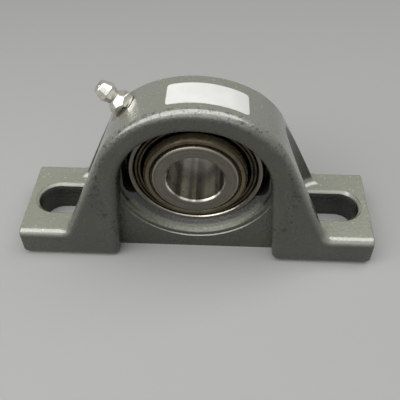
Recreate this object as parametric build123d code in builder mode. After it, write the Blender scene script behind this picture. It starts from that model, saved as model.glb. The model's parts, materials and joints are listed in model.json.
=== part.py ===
from build123d import *
import math
import os

# Pillow block bearing: a cast housing with a self-aligning insert and an eccentric locking collar.
# Millimetres. The shaft runs along Y, X is the length of the base, Z is up, and the base stands on Z = 0.
# The front, where the arch is open down to the base, faces -Y.

# --- insert: rings and balls -----------------------------------------------------------------
bore_radius = 9.525
outer_ring_radius = 23.5
outer_ring_width = 15.88
pitch_offset = 0.2375
ball_count = 8
ball_radius = 3.969
race_clearance = 0.02
race_conformity = 1.04
land_offset = 2.25
inner_ring_front_overhang = 3.17
inner_ring_back_overhang = 2.06
lubrication_groove_width = 3.0
lubrication_groove_depth = 0.6
lubrication_hole_radius = 0.9
ring_edge = 0.5
bore_edge = 0.6
face_edge_radius = 1.0

# --- insert: cage ----------------------------------------------------------------------------
cage_sheet = 0.8
cage_band = 1.25
pocket_clearance = 0.12
rivet_radius = 0.55
rivet_clearance = 0.03
rivet_head_radius = 0.95
rivet_head_height = 0.35

# --- insert: seals and flingers --------------------------------------------------------------
seal_seat_step = 1.05
seal_seat_depth = 2.2
shield_sheet = 0.5
shield_dish = 0.2
shield_reach = 1.4
shield_bead_gap = 0.42
shield_bead_width = 0.84
shield_bead_inset = 0.25
lip_clearance = 0.03
lip_rise = 0.35
lip_waist = 0.4
flinger_reach = 2.1
flinger_rise = 1.16
flinger_sheet = 0.5
flinger_round = 0.95
flinger_gap = 0.3

# --- eccentric locking collar ----------------------------------------------------------------
cam_step = 1.2
cam_offset = 0.8
cam_length = 5.4
cam_clearance = 0.4
collar_wall = 2.17
collar_hub_width = 8.1
collar_bore_clearance = 0.08
collar_gap = 0.3
collar_edge = 0.7
set_screw_radius = 3.1
set_screw_sink = 0.415
set_screw_socket = 3.18
set_screw_edge = 0.4
set_screw_tip_clearance = 0.3
thread_clearance = 0.05
drift_hole_radius = 2.5
drift_hole_depth = 3.0

# --- housing: base and feet ------------------------------------------------------------------
shaft_height = 33.34
base_width = 34.92
foot_thickness = 12.1
foot_back_step = 2.4
foot_end_radius = 0.8
foot_end_wall = 3.4
slot_spacing = 94.0
slot_length = 23.0
slot_width = 13.4
slot_rim = 1.0

# --- housing: arch, legs and openings --------------------------------------------------------
arch_wall = 7.95
leg_lean = 24.0
casting_draft = 3.4
back_lean = 14.8
front_edge_radius = 2.6
back_edge_radius = 2.0
leg_foot_radius = 3.6
opening_clearance = 1.2
opening_lean = 4.6
opening_edge_radius = 2.4
opening_flare = 3.0
web_front = 10.9
web_back = 6.0
pocket_radius = 13.0
pocket_growth = 0.06
pocket_inward = 0.10
pocket_floor_radius = 3.0

# --- housing: spherical seat for the insert --------------------------------------------------
seat_clearance = 0.03
seat_front = 6.52
mouth_clearance = 2.17
mouth_depth = 1.8
mouth_round = 0.8
lip_width = 0.68
hub_ring_width = 1.42
hub_ring_depth = 0.4
ledge_width = 0.23
loading_slot_clearance = 1.0
loading_slot_margin = 2.76
loading_slot_corner = 6.0

# --- grease fitting --------------------------------------------------------------------------
fitting_angle = 45.0
fitting_y = -1.0
spotface_depth = 1.45
spotface_radius = 6.0
fitting_shank_radius = 3.15
fitting_shank_length = 5.0
fitting_hex = 7.94
fitting_hex_height = 4.3
fitting_hex_bevel = 45.0
fitting_neck_radius = 2.41
fitting_neck_length = 0.3
fitting_head_radius = 3.2
fitting_head_shoulder = 2.3
fitting_head_band = 0.4
fitting_head_taper = 2.9
fitting_tip_radius = 2.3
fitting_tip_edge = 0.3
fitting_mouth_radius = 0.9
fitting_passage_radius = 1.0
check_ball_radius = 1.19
check_ball_travel = 0.7
check_ball_clearance = 0.06
spring_radius = 0.85
spring_wire_radius = 0.16
spring_pitch = 0.9
spring_length = 4.0
oil_hole_radius = 1.5

# --- label -----------------------------------------------------------------------------------
label_length = 25.0
label_width = 10.6
label_corner = 1.2
label_thickness = 0.12
label_angle = 7.6
label_y = -7.4

# --- sizes that follow -----------------------------------------------------------------------
half_width = outer_ring_width / 2
pitch_radius = (bore_radius + outer_ring_radius) / 2 + pitch_offset
outer_ring_land = pitch_radius + land_offset
inner_ring_land = pitch_radius - land_offset
inner_ring_front = half_width + inner_ring_front_overhang
inner_ring_back = half_width + inner_ring_back_overhang

base_length = slot_spacing + slot_length + 2 * foot_end_wall
opening_radius = outer_ring_radius + opening_clearance
arch_radius = opening_radius + arch_wall
front_y = -base_width / 2
back_y = base_width / 2
beyond = 2 * base_length
close = 0.01

bearing_plane = Plane.XY.offset(shaft_height)
shaft_axis = Axis((0, 0, shaft_height), (0, 1, 0))
fitting_seat = arch_radius - spotface_depth
fitting_lean = math.radians(fitting_angle)
fitting_plane = Plane(
    origin=(0, fitting_y, shaft_height),
    x_dir=(0, 1, 0),
    z_dir=(-math.sin(fitting_lean), 0, math.cos(fitting_lean)),
)


def plane_at_y(y):
    """Plane seen from the front, standing at a given Y."""
    return Plane.XZ.offset(-y)


def arch_outline(radius, lean, bottom):
    """Sketch of an arc about the shaft whose straight sides lean outward down to a level."""
    lean_angle = math.radians(lean)
    side_x = radius * math.cos(lean_angle)
    side_z = shaft_height + radius * math.sin(lean_angle)
    bottom_x = side_x + (side_z - bottom) * math.tan(lean_angle)
    with BuildSketch() as outline:
        with BuildLine():
            ThreePointArc((-side_x, side_z), (0, shaft_height + radius), (side_x, side_z))
            Polyline((side_x, side_z), (bottom_x, bottom), (-bottom_x, bottom), (-side_x, side_z))
        make_face()
    return outline.sketch


def around_shaft(radius, angle):
    """Point at Y = 0 at a radius from the shaft axis."""
    return (radius * math.cos(angle), 0, shaft_height + radius * math.sin(angle))


def runs_along_y(edge):
    """True for an edge that runs from front to back."""
    return abs(edge.tangent_at(0.5).Y) > math.cos(math.radians(25))


def at_height(z):
    """Test for an edge whose middle lies at a level."""
    return lambda edge: abs(edge.center().Z - z) < close


def above_feet(edge):
    """True for an edge that lies on the top of the feet or higher."""
    return edge.center().Z > foot_thickness - close


def from_middle(edge):
    """Distance of an edge from the plane of symmetry."""
    return abs(edge.center().X)


def save(piece, name):
    """Labels a finished piece and writes it."""
    piece.part.label = name
    export_step(piece.part, f"parts/{name}.step")


os.makedirs("parts", exist_ok=True)

# --- housing: tools that cut it --------------------------------------------------------------
seat_radius = outer_ring_radius + seat_clearance
seat_front_radius = math.sqrt(seat_radius**2 - seat_front**2)
seat_back_radius = math.sqrt(seat_radius**2 - web_back**2)
mouth_radius = outer_ring_radius + mouth_clearance
mouth_y = mouth_depth - web_front
lip_radius = mouth_radius + lip_width
hub_ring_y = hub_ring_depth - web_front
hub_ring_radius = lip_radius + hub_ring_width
ledge_radius = hub_ring_radius + ledge_width

with BuildPart() as seat_cutter:
    # Spherical seat, the two-step mouth in front of it and the shallow ring around the mouth.
    with BuildSketch(bearing_plane):
        with BuildLine():
            Polyline(
                (0, front_y), (ledge_radius, front_y), (ledge_radius, -web_front),
                (hub_ring_radius, hub_ring_y),
            )
            FilletPolyline(
                (hub_ring_radius, hub_ring_y), (lip_radius, hub_ring_y), (mouth_radius, mouth_y),
                (seat_front_radius, -seat_front), radius=mouth_round,
            )
            ThreePointArc((seat_front_radius, -seat_front), (seat_radius, 0), (seat_back_radius, web_back))
            Polyline((seat_back_radius, web_back), (seat_back_radius, back_y), (0, back_y), (0, front_y))
        make_face()
    revolve(axis=shaft_axis)
    with BuildSketch(plane_at_y(back_y)):
        add(arch_outline(opening_radius, opening_lean, 0))
    extrude(amount=base_width, mode=Mode.INTERSECT)

with BuildPart() as pocket:
    # Room for the bolt head beside each leg: a skew cone that reaches further into the leg higher up.
    pocket_top = shaft_height + arch_radius
    pocket_height = pocket_top - foot_thickness
    with BuildSketch(Plane.XY.offset(foot_thickness)):
        with Locations((slot_spacing / 2, 0)):
            Circle(pocket_radius)
    with BuildSketch(Plane.XY.offset(pocket_top)):
        with Locations((slot_spacing / 2 - pocket_inward * pocket_height, 0)):
            Circle(pocket_radius + pocket_growth * pocket_height)
    loft()
    fillet(pocket.edges().group_by(Axis.Z)[0], pocket_floor_radius)

# --- housing ---------------------------------------------------------------------------------
# The blank runs on past the back, so that its rounded creases end clear of the back face.
blank_depth = base_width + 2 * leg_foot_radius
lean_start_z = foot_thickness - foot_back_step
side_top = shaft_height + arch_radius + front_edge_radius
side_top_y = back_y - (side_top - lean_start_z) * math.tan(math.radians(back_lean))
from_front = Plane(origin=(0, front_y, 0), x_dir=(-1, 0, 0), z_dir=(0, 1, 0))

with BuildPart() as housing:
    with BuildSketch(from_front):
        add(arch_outline(arch_radius, leg_lean, -foot_thickness))
    extrude(amount=blank_depth, taper=casting_draft)
    with BuildSketch(from_front):
        Rectangle(base_length, foot_thickness, align=(Align.CENTER, Align.MIN))
    extrude(amount=blank_depth)
    split(bisect_by=Plane.XY)

    # Hollow where each leg runs out into its foot, then the rounded front rim.
    foot_top_edges = housing.edges().filter_by(at_height(foot_thickness)).filter_by(runs_along_y)
    fillet(foot_top_edges.sort_by(from_middle)[:2], leg_foot_radius)
    fillet(housing.faces().sort_by(Axis.Y)[0].edges().filter_by(above_feet), front_edge_radius)

    # The back stands upright at the feet and leans forward above them.
    with BuildSketch(Plane.YZ):
        Polygon(
            (front_y, 0), (back_y, 0), (back_y, lean_start_z), (side_top_y, side_top), (front_y, side_top),
            align=None,
        )
    extrude(amount=beyond, both=True, mode=Mode.INTERSECT)
    leaning_face = housing.faces().filter_by(lambda f: f.normal_at().Y > 0.9 and f.normal_at().Z > 0.1)
    fillet(leaning_face.sort_by(SortBy.AREA)[-1].edges().filter_by(above_feet), back_edge_radius)
    foot_ends = housing.faces().sort_by(Axis.X)[0].edges() + housing.faces().sort_by(Axis.X)[-1].edges()
    fillet(foot_ends.filter_by(lambda e: e.center().Z > close), foot_end_radius)

    # Openings under the arch, in front of the web and behind it.
    with BuildSketch(plane_at_y(-web_front)):
        add(arch_outline(opening_radius, opening_lean, 0))
    extrude(amount=base_width, mode=Mode.SUBTRACT)
    front_arcs = housing.faces().sort_by(Axis.Y)[0].edges().filter_by(GeomType.CIRCLE)
    fillet(front_arcs.sort_by(SortBy.RADIUS)[0], opening_edge_radius)
    with BuildSketch(plane_at_y(web_back)):
        add(arch_outline(opening_radius, opening_lean, 0))
    extrude(amount=-base_width, mode=Mode.SUBTRACT)
    base_edges = housing.edges().filter_by(at_height(0)).filter_by(runs_along_y)
    fillet(base_edges.sort_by(from_middle)[:4], opening_flare)

    # Spherical seat and the two slots that let the insert in sideways.
    add(seat_cutter.part, mode=Mode.SUBTRACT)
    with BuildSketch(Plane.XZ):
        with Locations((0, shaft_height)):
            RectangleRounded(
                2 * (outer_ring_radius + loading_slot_clearance),
                2 * (half_width + loading_slot_margin),
                loading_slot_corner,
            )
    extrude(amount=web_front, mode=Mode.SUBTRACT)

    # Bolt pockets beside the legs and the slots through the feet.
    add(pocket.part, mode=Mode.SUBTRACT)
    add(mirror(pocket.part, about=Plane.YZ, mode=Mode.PRIVATE), mode=Mode.SUBTRACT)
    with BuildSketch(Plane.XY):
        with Locations((-slot_spacing / 2, 0), (slot_spacing / 2, 0)):
            SlotOverall(slot_length, slot_width)
    extrude(amount=2 * foot_thickness, mode=Mode.SUBTRACT)
    with BuildSketch(Plane.XY.offset(foot_thickness)):
        with Locations((-slot_spacing / 2, 0), (slot_spacing / 2, 0)):
            SlotOverall(slot_length + 2 * slot_rim, slot_width + 2 * slot_rim)
    extrude(amount=-slot_rim, taper=45, mode=Mode.SUBTRACT)

    # Spot face, tapped hole and oil hole for the grease fitting.
    with BuildSketch(fitting_plane.offset(fitting_seat)):
        Circle(spotface_radius)
    extrude(amount=fitting_seat, mode=Mode.SUBTRACT)
    with BuildSketch(fitting_plane.offset(fitting_seat)):
        Circle(fitting_shank_radius + thread_clearance)
    extrude(amount=-fitting_shank_length - thread_clearance, mode=Mode.SUBTRACT)
    with BuildSketch(fitting_plane):
        Circle(oil_hole_radius)
    extrude(amount=fitting_seat, mode=Mode.SUBTRACT)
save(housing, "housing")

# --- grease fitting --------------------------------------------------------------------------
fitting_axis = Axis(fitting_plane.origin, fitting_plane.z_dir)
fitting_seat_plane = fitting_plane.offset(fitting_seat)
fitting_turn_plane = Plane(
    origin=fitting_seat_plane.origin,
    x_dir=fitting_seat_plane.x_dir,
    z_dir=fitting_seat_plane.x_dir.cross(fitting_seat_plane.z_dir),
)
head_underside = fitting_hex_height + fitting_neck_length
head_base = head_underside + fitting_head_shoulder
head_top = head_base + fitting_head_band
fitting_length = head_top + fitting_head_taper
chamber_radius = check_ball_radius + check_ball_clearance
check_ball_height = fitting_length - math.sqrt(chamber_radius**2 - fitting_mouth_radius**2)
chamber_floor = check_ball_height - spring_length - check_ball_travel - check_ball_radius

with BuildPart() as grease_fitting_body:
    with BuildSketch(fitting_seat_plane):
        RegularPolygon(fitting_hex / 2, 6, major_radius=False, rotation=30)
    extrude(amount=fitting_hex_height)
    # The hexagon is turned down to the neck at a bevel.
    bevel_foot = fitting_neck_radius + fitting_hex_height / math.tan(math.radians(fitting_hex_bevel))
    with BuildSketch(fitting_turn_plane):
        Polygon(
            (0, 0), (bevel_foot, 0), (fitting_neck_radius, fitting_hex_height), (0, fitting_hex_height),
            align=None,
        )
    revolve(axis=fitting_axis, mode=Mode.INTERSECT)
    # Shank, neck and head, turned in one.
    with BuildSketch(fitting_turn_plane):
        with BuildLine():
            Polyline(
                (0, -fitting_shank_length), (fitting_shank_radius, -fitting_shank_length),
                (fitting_shank_radius, 0), (fitting_neck_radius, 0), (fitting_neck_radius, head_underside),
                (fitting_head_radius, head_base), (fitting_head_radius, head_top),
                (fitting_tip_radius, fitting_length - fitting_tip_edge),
                (fitting_tip_radius - fitting_tip_edge, fitting_length), (0, fitting_length),
                (0, -fitting_shank_length),
            )
        make_face()
    revolve(axis=fitting_axis)
    # Chamber for the check ball and its spring, closed above by the ball's seat.
    with BuildSketch(fitting_turn_plane):
        with BuildLine():
            Polyline((0, chamber_floor), (chamber_radius, chamber_floor), (chamber_radius, check_ball_height))
            CenterArc((0, check_ball_height), chamber_radius, 0, 90)
            Line((0, check_ball_height + chamber_radius), (0, chamber_floor))
        make_face()
    revolve(axis=fitting_axis, mode=Mode.SUBTRACT)
    with BuildSketch(fitting_seat_plane):
        Circle(fitting_mouth_radius)
    extrude(amount=fitting_length, mode=Mode.SUBTRACT)
    with BuildSketch(fitting_seat_plane.offset(-fitting_shank_length)):
        Circle(fitting_passage_radius)
    extrude(amount=fitting_shank_length, mode=Mode.SUBTRACT)
save(grease_fitting_body, "grease_fitting_body")

with BuildPart() as grease_fitting_ball:
    with Locations(fitting_seat_plane.offset(check_ball_height)):
        Sphere(check_ball_radius)
save(grease_fitting_ball, "grease_fitting_ball")

spring_top = check_ball_height - math.sqrt((check_ball_radius + spring_wire_radius) ** 2 - spring_radius**2)
spring_start = fitting_seat_plane.offset(spring_top - spring_length).origin
with BuildPart() as grease_fitting_spring:
    with BuildLine() as coil:
        Helix(spring_pitch, spring_length, spring_radius, center=spring_start, direction=fitting_plane.z_dir)
    with BuildSketch(Plane(origin=coil.line @ 0, z_dir=coil.line % 0)):
        Circle(spring_wire_radius)
    sweep(path=coil.line, is_frenet=True)
save(grease_fitting_spring, "grease_fitting_spring")

# --- rings -----------------------------------------------------------------------------------
race_radius = ball_radius * race_conformity
inner_race_centre = pitch_radius + race_radius - ball_radius - race_clearance
outer_race_centre = pitch_radius - race_radius + ball_radius + race_clearance
seal_seat_radius = outer_ring_land + seal_seat_step
seal_seat_y = half_width - seal_seat_depth

with BuildPart() as outer_ring:
    with BuildSketch(bearing_plane):
        Circle(outer_ring_radius)
        with Locations(((outer_ring_land + outer_ring_radius) / 2, 0)):
            Rectangle(outer_ring_radius - outer_ring_land, outer_ring_width, mode=Mode.INTERSECT)
        with Locations((outer_race_centre, 0)):
            Circle(race_radius, mode=Mode.SUBTRACT)
        with Locations((outer_ring_radius, 0)):
            Rectangle(2 * lubrication_groove_depth, lubrication_groove_width, mode=Mode.SUBTRACT)
        with Locations((0, seal_seat_y), (0, -half_width)):
            Rectangle(seal_seat_radius, seal_seat_depth, align=Align.MIN, mode=Mode.SUBTRACT)
    revolve(axis=shaft_axis)
    for face in (outer_ring.faces().sort_by(Axis.Y)[0], outer_ring.faces().sort_by(Axis.Y)[-1]):
        chamfer(face.edges().sort_by(SortBy.RADIUS)[-1], ring_edge)
    with BuildSketch(fitting_plane):
        Circle(lubrication_hole_radius)
    extrude(amount=arch_radius, mode=Mode.SUBTRACT)
save(outer_ring, "outer_ring")

cam_radius = inner_ring_land - cam_step
with BuildPart() as inner_ring:
    with BuildSketch(bearing_plane):
        with Locations((0, -inner_ring_front)):
            Rectangle(inner_ring_land, inner_ring_front + inner_ring_back, align=Align.MIN)
        with Locations((inner_race_centre, 0)):
            Circle(race_radius, mode=Mode.SUBTRACT)
    revolve(axis=shaft_axis)
    # The cam for the collar, off centre to +X.
    with BuildSketch(plane_at_y(inner_ring_back)):
        with Locations((cam_offset, shaft_height)):
            Circle(cam_radius)
    extrude(amount=-cam_length)
    with BuildSketch(plane_at_y(inner_ring_back + cam_length)):
        with Locations((0, shaft_height)):
            Circle(bore_radius)
    extrude(amount=inner_ring_front + inner_ring_back + cam_length, mode=Mode.SUBTRACT)
    fillet(inner_ring.faces().sort_by(Axis.Y)[0].edges().sort_by(SortBy.RADIUS)[-1], face_edge_radius)
    for face in (inner_ring.faces().sort_by(Axis.Y)[0], inner_ring.faces().sort_by(Axis.Y)[-1]):
        chamfer(face.edges().sort_by(SortBy.RADIUS)[0], bore_edge)
save(inner_ring, "inner_ring")

# --- balls -----------------------------------------------------------------------------------
ball_step = 2 * math.pi / ball_count
ball_places = [around_shaft(pitch_radius, ball_step * (k + 0.5)) for k in range(ball_count)]
for k in range(ball_count):
    with BuildPart() as ball:
        with Locations(ball_places[k]):
            Sphere(ball_radius)
    save(ball, f"ball_{k + 1}")

# --- cage ------------------------------------------------------------------------------------
rivet_places = [around_shaft(pitch_radius, ball_step * k) for k in range(ball_count)]
cage_pocket_radius = ball_radius + pocket_clearance
for name, side in (("cage_front", 1), ("cage_rear", -1)):
    # A flat sheet ring between the balls, pressed out over each ball.
    with BuildPart() as cage:
        with BuildSketch(Plane.XZ):
            with Locations((0, shaft_height)):
                Circle(pitch_radius + cage_band)
        extrude(amount=side * cage_sheet)
        with Locations(ball_places):
            Sphere(cage_pocket_radius + cage_sheet)
        with BuildSketch(Plane.XZ):
            with Locations((0, shaft_height)):
                Circle(pitch_radius + cage_band)
                Circle(pitch_radius - cage_band, mode=Mode.SUBTRACT)
        extrude(amount=side * pitch_radius, mode=Mode.INTERSECT)
        with Locations(ball_places):
            Sphere(cage_pocket_radius, mode=Mode.SUBTRACT)
        with Locations(rivet_places):
            Cylinder(rivet_radius + rivet_clearance, 4 * cage_sheet, rotation=(90, 0, 0), mode=Mode.SUBTRACT)
    save(cage, name)

with BuildPart() as cage_rivets:
    with Locations(rivet_places):
        Cylinder(rivet_radius, 2 * cage_sheet, rotation=(90, 0, 0))
    for side in (-1, 1):
        head_y = side * (cage_sheet + rivet_head_height / 2)
        with Locations([(x, head_y, z) for x, y, z in rivet_places]):
            Cylinder(rivet_head_radius, rivet_head_height, rotation=(90, 0, 0))
save(cage_rivets, "cage_rivets")

# --- seals and flingers ----------------------------------------------------------------------
# Heights are measured outward from the middle of the ring, so one profile serves both ends.
dish_top = seal_seat_y + shield_sheet + shield_dish
dish_bottom = dish_top - shield_sheet
shield_inner_radius = inner_ring_land + shield_reach
bead_outer = seal_seat_radius - shield_bead_gap
bead_inner = bead_outer - shield_bead_width
bead_middle = (bead_outer + bead_inner) / 2
bead_top = half_width - shield_bead_inset
bead_shoulder = bead_top - shield_bead_inset
lip_edge = inner_ring_land + lip_clearance
lip_top = dish_top + lip_rise
flinger_foot = lip_top + flinger_gap
flinger_top = half_width + flinger_rise
flinger_radius = inner_ring_land + flinger_reach

for end, side in (("front", -1), ("rear", 1)):
    with BuildPart() as seal_shield:
        # Pressed sheet: a flange in its seat, a rolled bead and a flat dish inside it.
        with BuildSketch(bearing_plane):
            with BuildLine():
                ThreePointArc(
                    (bead_outer, side * bead_shoulder), (bead_middle, side * bead_top),
                    (bead_inner, side * bead_shoulder),
                )
                Polyline(
                    (bead_inner, side * bead_shoulder), (bead_inner - shield_sheet / 2, side * dish_top),
                    (shield_inner_radius, side * dish_top), (shield_inner_radius, side * dish_bottom),
                    (bead_inner, side * dish_bottom), (bead_inner, side * seal_seat_y),
                    (seal_seat_radius, side * seal_seat_y), (seal_seat_radius, side * dish_bottom),
                    (bead_outer, side * dish_top), (bead_outer, side * bead_shoulder),
                )
            make_face()
        revolve(axis=shaft_axis)
    save(seal_shield, f"seal_shield_{end}")

    with BuildPart() as seal_lip:
        # Rubber on the inner edge of the shield, turned outward along the inner ring.
        with BuildSketch(bearing_plane):
            lip_points = [
                (shield_inner_radius, dish_top), (lip_edge + 2 * lip_waist, dish_top), (lip_edge, lip_top),
                (lip_edge, dish_top), (lip_edge + lip_waist, dish_bottom), (shield_inner_radius, dish_bottom),
            ]
            Polygon([(r, side * y) for r, y in lip_points], align=None)
        revolve(axis=shaft_axis)
    save(seal_lip, f"seal_lip_{end}")

    with BuildPart() as flinger:
        # Pressed channel on the inner ring, open toward the seal.
        with BuildSketch(bearing_plane):
            with BuildLine():
                channel = FilletPolyline(
                    (inner_ring_land, side * flinger_foot), (inner_ring_land, side * flinger_top),
                    (flinger_radius, side * flinger_top), (flinger_radius, side * flinger_foot),
                    radius=flinger_round,
                )
                Line(channel @ 1, channel @ 0)
            make_face()
            with BuildLine():
                hollow = FilletPolyline(
                    (inner_ring_land + flinger_sheet, side * flinger_foot),
                    (inner_ring_land + flinger_sheet, side * (flinger_top - flinger_sheet)),
                    (flinger_radius - flinger_sheet, side * (flinger_top - flinger_sheet)),
                    (flinger_radius - flinger_sheet, side * flinger_foot),
                    radius=flinger_round - flinger_sheet,
                )
                Line(hollow @ 1, hollow @ 0)
            make_face(mode=Mode.SUBTRACT)
        revolve(axis=shaft_axis)
    save(flinger, f"flinger_{end}")

# --- eccentric locking collar ----------------------------------------------------------------
collar_front = inner_ring_back + collar_gap
collar_width = cam_length + collar_hub_width
collar_back = collar_front + collar_width
collar_radius = cam_offset + cam_radius + cam_clearance + collar_wall
collar_bore = bore_radius + collar_bore_clearance
set_screw_y = collar_back - collar_hub_width / 2
set_screw_plane = Plane(origin=(0, set_screw_y, shaft_height), x_dir=(1, 0, 0), z_dir=(0, 0, 1))
drift_plane = Plane(origin=(0, set_screw_y, shaft_height), x_dir=(0, 1, 0), z_dir=(1, 0, 0))

with BuildPart() as locking_collar:
    with BuildSketch(plane_at_y(collar_back)):
        with Locations((0, shaft_height)):
            Circle(collar_radius)
            Circle(collar_bore, mode=Mode.SUBTRACT)
    extrude(amount=collar_width)
    # Eccentric recess that grips the cam when the collar is turned.
    with BuildSketch(plane_at_y(collar_front)):
        with Locations((cam_offset, shaft_height)):
            Circle(cam_radius + cam_clearance)
    extrude(amount=-cam_length, mode=Mode.SUBTRACT)
    for face in (locking_collar.faces().sort_by(Axis.Y)[0], locking_collar.faces().sort_by(Axis.Y)[-1]):
        chamfer(face.edges().sort_by(SortBy.RADIUS)[-1], collar_edge)
    with BuildSketch(set_screw_plane):
        Circle(set_screw_radius + thread_clearance)
    extrude(amount=2 * collar_radius, mode=Mode.SUBTRACT)
    with BuildSketch(drift_plane.offset(collar_radius - drift_hole_depth)):
        Circle(drift_hole_radius)
    extrude(amount=2 * drift_hole_depth, mode=Mode.SUBTRACT)
save(locking_collar, "locking_collar")

set_screw_tip = collar_bore + set_screw_tip_clearance
set_screw_length = collar_radius - set_screw_sink - set_screw_tip
with BuildPart() as collar_set_screw:
    with BuildSketch(set_screw_plane.offset(set_screw_tip)):
        Circle(set_screw_radius)
    extrude(amount=set_screw_length)
    chamfer(collar_set_screw.edges().filter_by(GeomType.CIRCLE), set_screw_edge)
    with BuildSketch(set_screw_plane.offset(set_screw_tip + set_screw_length)):
        RegularPolygon(set_screw_socket / 2, 6, major_radius=False)
    extrude(amount=-set_screw_length / 2, mode=Mode.SUBTRACT)
save(collar_set_screw, "collar_set_screw")

# --- label -----------------------------------------------------------------------------------
# Bent over the crown: a thin shell on the drafted cone, cut to a rounded rectangle.
surface_back = arch_radius - math.tan(math.radians(casting_draft)) * base_width
label_chord = 2 * arch_radius * math.sin(label_length / arch_radius / 2)
label_lean = math.radians(label_angle)
label_plane = Plane(
    origin=(0, label_y, shaft_height),
    x_dir=(math.cos(label_lean), 0, -math.sin(label_lean)),
    z_dir=(math.sin(label_lean), 0, math.cos(label_lean)),
)
with BuildPart() as label:
    with BuildSketch(bearing_plane):
        Polygon(
            (arch_radius, front_y), (arch_radius + label_thickness, front_y),
            (surface_back + label_thickness, back_y), (surface_back, back_y), align=None,
        )
    revolve(axis=shaft_axis)
    with BuildSketch(label_plane):
        RectangleRounded(label_chord, label_width, label_corner)
    extrude(amount=2 * arch_radius, mode=Mode.INTERSECT)
save(label, "label")
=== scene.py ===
import json
import math
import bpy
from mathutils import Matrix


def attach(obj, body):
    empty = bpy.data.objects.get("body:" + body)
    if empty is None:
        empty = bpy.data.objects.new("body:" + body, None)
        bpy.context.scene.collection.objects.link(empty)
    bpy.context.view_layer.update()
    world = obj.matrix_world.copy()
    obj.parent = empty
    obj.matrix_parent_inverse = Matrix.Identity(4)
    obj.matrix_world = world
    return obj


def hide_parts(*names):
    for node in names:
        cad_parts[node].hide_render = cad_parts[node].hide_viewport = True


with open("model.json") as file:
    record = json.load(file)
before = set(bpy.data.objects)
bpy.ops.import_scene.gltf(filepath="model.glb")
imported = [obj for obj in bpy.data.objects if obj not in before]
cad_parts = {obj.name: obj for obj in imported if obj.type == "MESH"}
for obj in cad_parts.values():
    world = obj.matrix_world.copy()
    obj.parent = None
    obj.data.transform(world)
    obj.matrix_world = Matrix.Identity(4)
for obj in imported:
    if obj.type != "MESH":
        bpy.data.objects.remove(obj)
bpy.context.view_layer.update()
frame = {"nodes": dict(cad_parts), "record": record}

from types import SimpleNamespace

import bpy
import numpy as np
from bpy.props import FloatProperty, FloatVectorProperty, PointerProperty
from mathutils import Matrix, Vector

bl_info = {
    "name": "Pillow Block Bearing",
    "version": (1, 0, 0),
    "blender": (4, 5, 0),
    "location": "3D View > Sidebar > Pillow Block",
    "description": "Finishes a pillow block bearing on its fixed frame and sets its studio",
    "category": "Object",
}

MM = 0.001
MOUNTS = {mount["name"]: mount for mount in frame["record"]["mounts"]}
SHAFT_HEIGHT = MOUNTS["bore"]["pos_m"][2]
SLOTS = MOUNTS["foot_slots"]
FITTING_HEAD = MOUNTS["grease_head"]
BALLS = sorted(name for name in frame["nodes"] if name.startswith("ball_"))

NODE_GRID = 220

# Outer ring in millimetres. The first row holds radii from the shaft and the second places along it from
# the ring's middle. In the third, the race's centre is a radius and its reach half its width.
RING = SimpleNamespace(
    sphere=23.5, groove=22.9, face_outside=22.0, face_inside=20.97, seal_seat=20.67, land=19.0,
    half_width=7.94, sphere_end=7.84, groove_side=1.5, chamfer_end=7.57, seal_floor=5.7,
    race_centre=16.611, race_radius=4.128, race_reach=3.366,
)
# Section of a seal shield, (radius, along) in millimetres: flange, two beads, cone, edge and back underneath.
SHIELD_SECTION = (
    (20.65, 5.76), (20.65, 6.6), (20.3, 6.75), (20.2, 7.6), (19.4, 7.6), (19.28, 7.1), (19.1, 7.1),
    (18.98, 7.6), (18.3, 7.6), (17.75, 7.0), (16.6, 6.5), (15.9, 6.44), (15.9, 5.94), (17.6, 6.2),
    (18.7, 6.6), (19.0, 5.76),
)
# Where each finish begins and where it is full, in millimetres.
ZONES = {
    # Distance from the shaft.
    "rim": (29.0, 31.0),
    "rim_end": (36.0, 34.0),
    # The seat and pocket zones bound the oil and painted shade round the ring.
    "seat": (25.0, 24.2),
    "pocket": (27.5, 26.5),
    "opening": (29.0, 27.0),
    "bore": (10.2, 9.7),
    # Place along the shaft.
    "rim_front": (-13.0, -15.5),
    "pocket_front": (-10.9, -10.5),
    "ring_face": (-7.2, -7.4),
    "bore_mouth": (4.0, -7.0),
    # Height from the shaft.
    "pocket_foot": (-12.5, -11.5),
    # Distance outside a slot's wall.
    # The slot wall zones bound the painted shade in the foot slots, the slot lip ones the painted highlight.
    "slot_wall": (0.35, 0.1),
    "slot_lip_highlight": (0.9, 0.6),
    # Height from the foot's top.
    "slot_shade_depth": (-1.2, -3.6),
    "slot_mouth": (-0.9, -0.5),
}
# The finishes' strengths are shares from 0 to 1, and a gain multiplies a colour. A slope is the span of the
# normal's upward part over which a finish comes in. Foot and crown are heights at which the dusty colour,
# which also paints light on what faces up, is full.
ENAMEL = SimpleNamespace(
    foot=15 * MM, crown=50 * MM, foot_dust_and_light=0.70, crown_dust_and_light=0.45, dust_and_light_slope=(0.1, 0.95),
    # The specks are painted glints; oil is oil and painted shade on the seat; the lip is a painted highlight.
    specks=0.1, glints_in_dust=0.9, glint_gain=2.3, oil=0.92, oil_patch=8 * MM, lip=0.6, lip_highlight_gain=1.5,
    clean=0.26, oily=0.38, chip_roughness=0.3, chip_height=-0.8,
    side_coat=0.05, top_coat=0.9, coat_slope=(0.05, 0.45), coat_lost_inside=0.85,
)
# Here clean and oily multiply the metal's roughness.
STEEL = SimpleNamespace(
    oil=0.3, oil_gain=0.55, oil_patch=5 * MM, clean=0.85, oily=1.35,
    # The bore's bands are grinding marks and painted reflection, brightest near its mouth.
    reflection_streaks_per_turn=11.0, dark_reflection_streak=1.3, bright_reflection_streak=5.2, deep_reflection_streaks=0.35, shallow_reflection_streaks=0.65,
)
SHEET = SimpleNamespace(
    oil_gain=0.6, oil_patch=4 * MM, clean=0.8, oily=1.4, grain=0.2 * MM, relief=0.004 * MM,
)


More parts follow.
